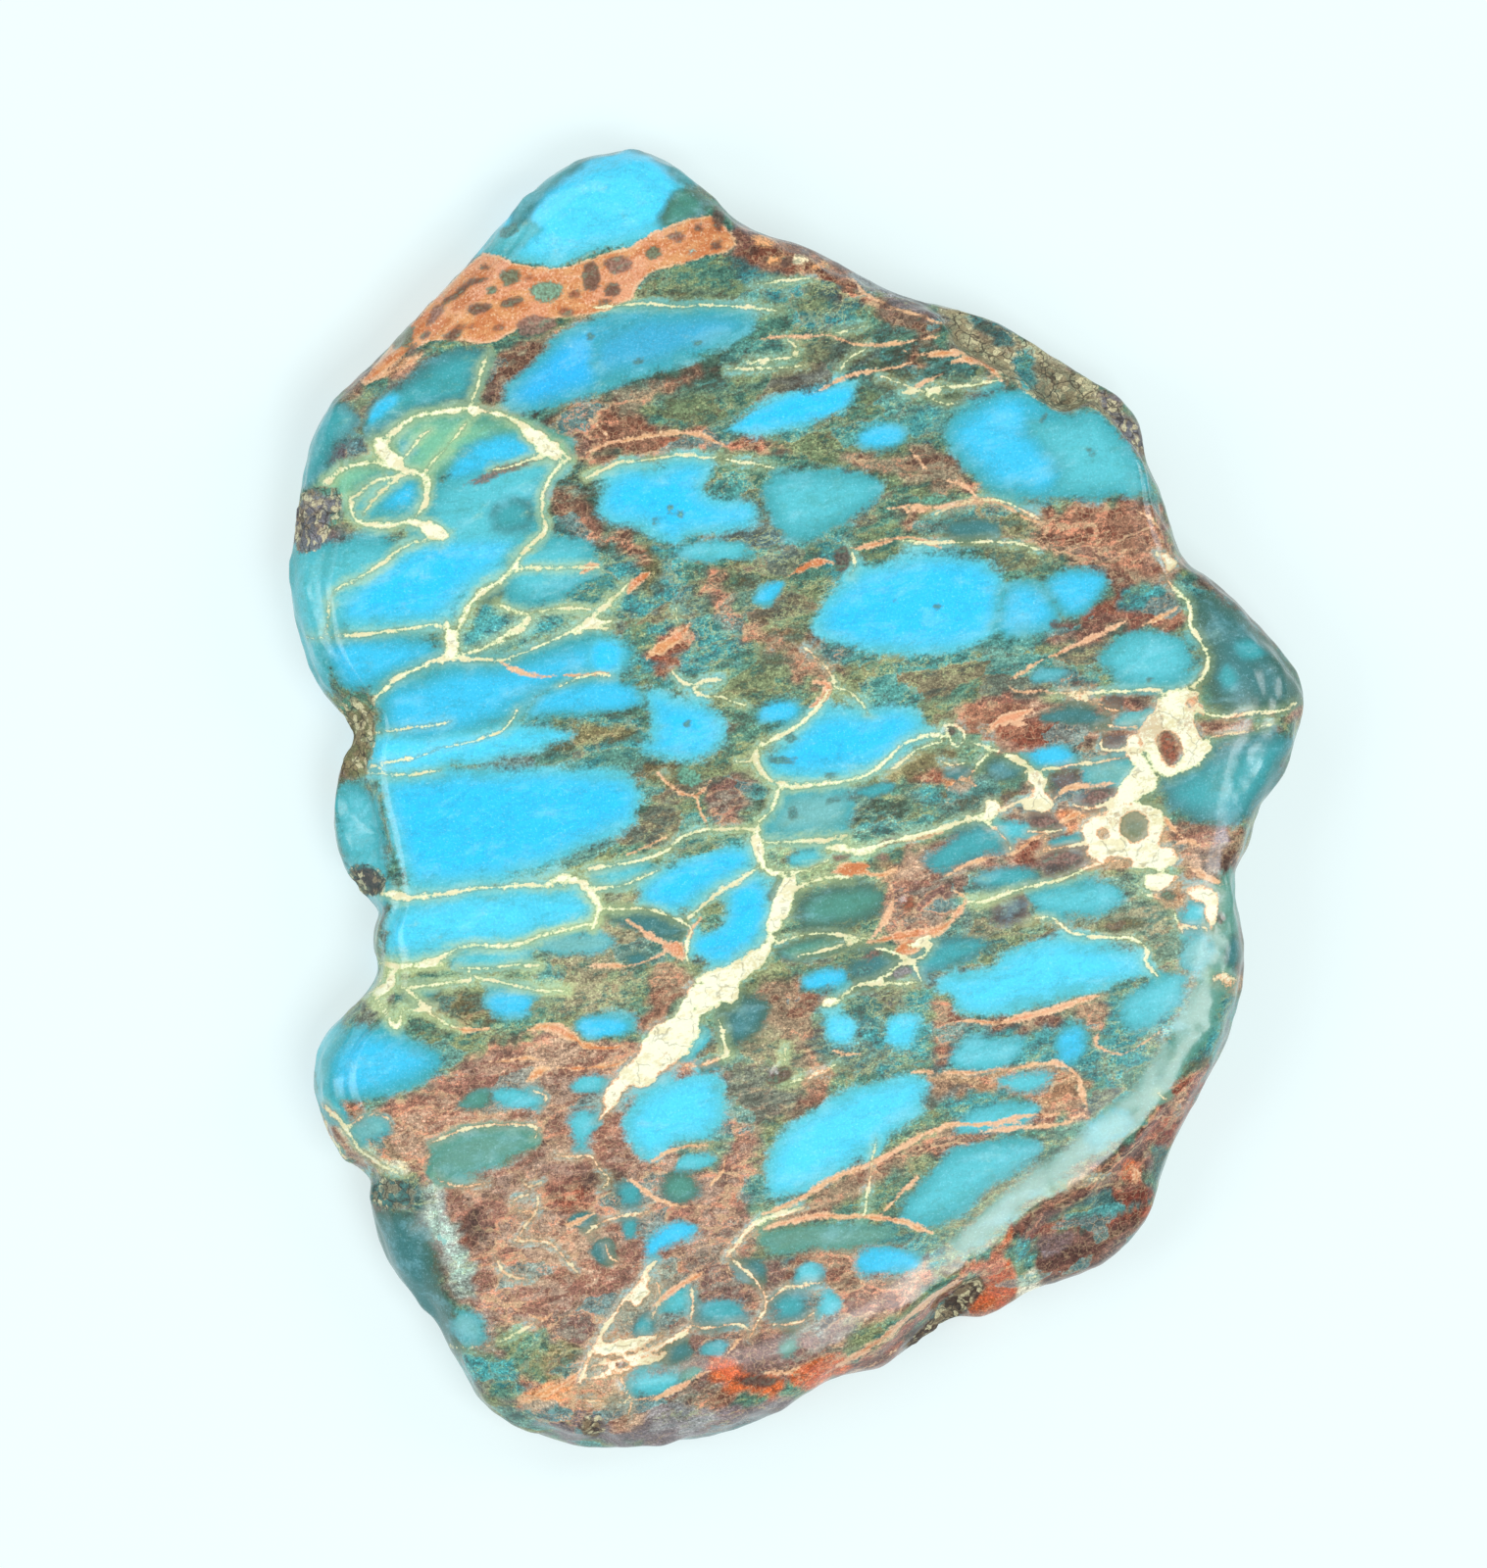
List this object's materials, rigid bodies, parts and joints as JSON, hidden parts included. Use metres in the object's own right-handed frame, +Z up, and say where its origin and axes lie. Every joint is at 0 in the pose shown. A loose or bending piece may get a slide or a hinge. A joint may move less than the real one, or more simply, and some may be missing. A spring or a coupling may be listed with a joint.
{
  "type": "polished turquoise slab",
  "caption": "Freeform lobed slab of turquoise with a flat base and a polished face, sky-blue nodules set in brown and cream matrix veins, with a rough natural shelf and rounded edges.",
  "frame": {"origin": "middle of the slab's box, on the plane of its flat base", "axes": "+X across the slab, +Y along its longest way towards the top lobe, +Z up out of the polished face"},
  "size_m": [0.0624, 0.08, 0.008],
  "materials": {
    "stone": "polished face with a soft gloss, sky-blue and teal nodules in brown, orange and cream matrix; the sides are less polished and the shelf is rough"
  },
  "bodies": {
    "root": {"turquoise_slab": "stone"}
  },
  "joints": []
}
